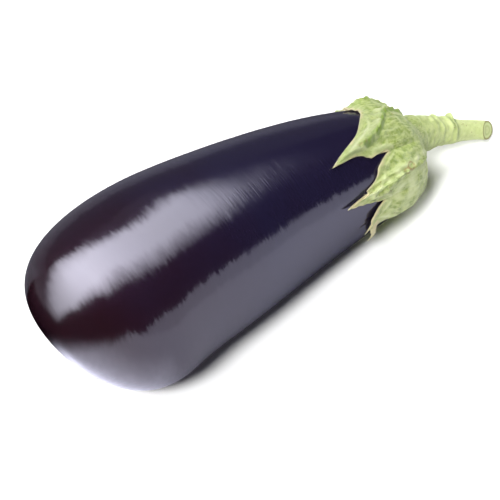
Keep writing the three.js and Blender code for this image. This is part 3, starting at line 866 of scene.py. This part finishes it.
# %% Stand the cards, and lay the dim sheet
WHITE_CARD_GLOW, DIM_CARD_GLOW = 2.6, 0.17
DIM_GLOW, BACK_GAIN, LEFT_GAIN = 0.15, 0.2, 0.2  # next to the fruit, and gained farther back and left
card_top = [(-0.80, -0.75, -0.06), (-0.45, -0.9, 0.11), (-0.2, -1.0, 0.27), (0.0, -1.0, 0.34),
            (0.35, -0.95, 0.3), (0.85, -0.7, 0.24)]
card_foot = [(x, y, -0.2) for x, y, _ in card_top]
card_faces = [(i, i + 1, i + 7, i + 6) for i in range(5)]
stage_sheet("white_card", card_foot + card_top, card_faces, MIRROR_WHITE, WHITE_CARD_GLOW)
dim_corners = [(-0.7, 1.2, -0.6), (1.6, 0.9, -0.6), (1.6, 0.9, 0.9), (-0.7, 1.2, 0.9)]
stage_sheet("dim_card", dim_corners, [(0, 1, 2, 3)], MIRROR_WHITE, DIM_CARD_GLOW)
x, y, points, faces = grid(
    np.concatenate([np.linspace(-0.1, 0.1, 41), np.geomspace(0.12, FAR, 20)]),
    np.geomspace(SHEET_BACK, FAR, 12), lambda x, y: (x - 0.8 * (y - SHEET_BACK) * (x < 0), y, 0 * x))
glow = DIM_GLOW + BACK_GAIN * smooth(y, 0.1, 0.17)
glow += LEFT_GAIN * (1 - smooth(x, -0.08, -0.02)) * bell(y, 0.17, 0.09)
stage_sheet("dim_sheet", points, faces, MIRROR_WHITE, glow.reshape(-1))
print("dim sheet glows from", round(float(glow.min()), 2), "to", round(float(glow.max()), 2))

# %% [markdown]
# ## The panel in the mirror
# One soft panel arches over the fruit from low on the left to high on the right, brightest up on the left
# and fading out toward the stem: its mirror image is the long highlight. An area light is the usual
# choice, but it is flat and even; a glowing sheet can be bent round the fruit and can fade smoothly. The
# table below says, for a few turns along the arch, how strongly it glows, where its near border starts
# and how softly, and where its far border lies and how softly, the borders in shares of the arch's
# radius.

# %% Hang the soft panel
ARCH_RADIUS, ARCH_MIDDLE = 0.8, -0.05
NEAR_END, FAR_END = -0.6, 1.56  # of the whole sheet, in shares of the arch's radius
FAINT_GLOW = 0.35  # left beyond the far border
# Each row: turn in degrees from the left horizon over the top, glow, near border, its rise, far border and
# its fall.
STATIONS = np.array([
    (-40, 0.0, 0.36, 0.08, 0.50, 0.12),
    (-26, 5.4, 0.27, 0.08, 0.50, 0.20),
    (-4, 10.5, 0.07, 0.10, 0.66, 0.45),
    (15, 15.5, -0.04, 0.13, 0.90, 0.75),
    (36, 20.0, -0.18, 0.26, 1.20, 0.80),
    (58, 22.0, -0.40, 0.44, 1.00, 0.55),
    (82, 19.0, -0.38, 0.46, 0.86, 0.30),
    (100, 15.4, -0.48, 0.46, 0.60, 0.18),
    (113, 12.6, -0.54, 0.46, 0.49, 0.15),
    (128, 11.0, -0.42, 0.44, 0.68, 0.18),
    (135, 0.0, -0.15, 0.40, 0.50, 0.20),
])


def arch(turn, across):
    along, up = -np.cos(np.radians(turn)) * ARCH_RADIUS, np.sin(np.radians(turn)) * ARCH_RADIUS
    return along + ARCH_MIDDLE, across * ARCH_RADIUS, up


turn, across, points, faces = grid(
    np.linspace(STATIONS[0, 0], STATIONS[-1, 0], 91), np.linspace(NEAR_END, FAR_END, 55), arch)
glow, near_border, rise, far_border, fall = (np.interp(turn, STATIONS[:, 0], column)
                                             for column in STATIONS.T[1:])
glow *= np.clip((across - near_border) / rise, 0, 1)
glow *= 1 - smooth(across, far_border - fall, far_border + fall)
glow += FAINT_GLOW * smooth(across, far_border - 0.4, far_border) * (1 - smooth(across, 1.1, FAR_END))
stage_sheet("soft_panel", points, faces, "ededff", glow.reshape(-1))
print("panel of", len(faces), "faces, brightest", round(float(glow.max()), 1))

# %% [markdown]
# ## The light on matte things
# The cap, the stem and the table are matte, and they are lit apart from the mirror image. The main lamp
# stands high on the left and a little in front, which tucks the shadow close under the belly. A softer
# one stands high on the right and behind and lightens the shadow beyond the stem, and a faint bluish glow
# from all round keeps the shadows from going black. The table is lit until it clips to white, so only the
# deeper shadows show.

# %% Hang the lamps
def hang_lamp(name, shines_toward, energy, width):
    lamp = bpy.data.objects.new(name, bpy.data.lights.new(name, "SUN"))
    bpy.context.scene.collection.objects.link(lamp)
    lamp.data.energy, lamp.data.angle = energy, math.radians(width)
    lamp.rotation_mode = "QUATERNION"
    lamp.rotation_quaternion = Vector(shines_toward).to_track_quat("-Z", "Y")
    lamp.visible_glossy = False
    print(name, "gives", energy, "W/m2 from a patch", width, "degrees wide")


hang_lamp("left_lamp", (0.66, 0.30, -1.0), 4.0, 14)
hang_lamp("right_lamp", (-0.52, -0.40, -1.0), 2.2, 34)
world = bpy.data.worlds.new("dim studio")
world.use_nodes = True
world.node_tree.nodes["Background"].inputs["Color"].default_value = linear("e2e2f2")
world.node_tree.nodes["Background"].inputs["Strength"].default_value = 0.06
world.cycles_visibility.glossy = False
bpy.context.scene.world = world
bpy.context.scene.view_settings.view_transform = "Standard"

# %% Compare the boxes
final_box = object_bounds()
for title, box in (("measured", cad_box), ("fine", final_box)):
    print(title, "box in mm:", [[round(v / MM, 1) for v in corner] for corner in box])
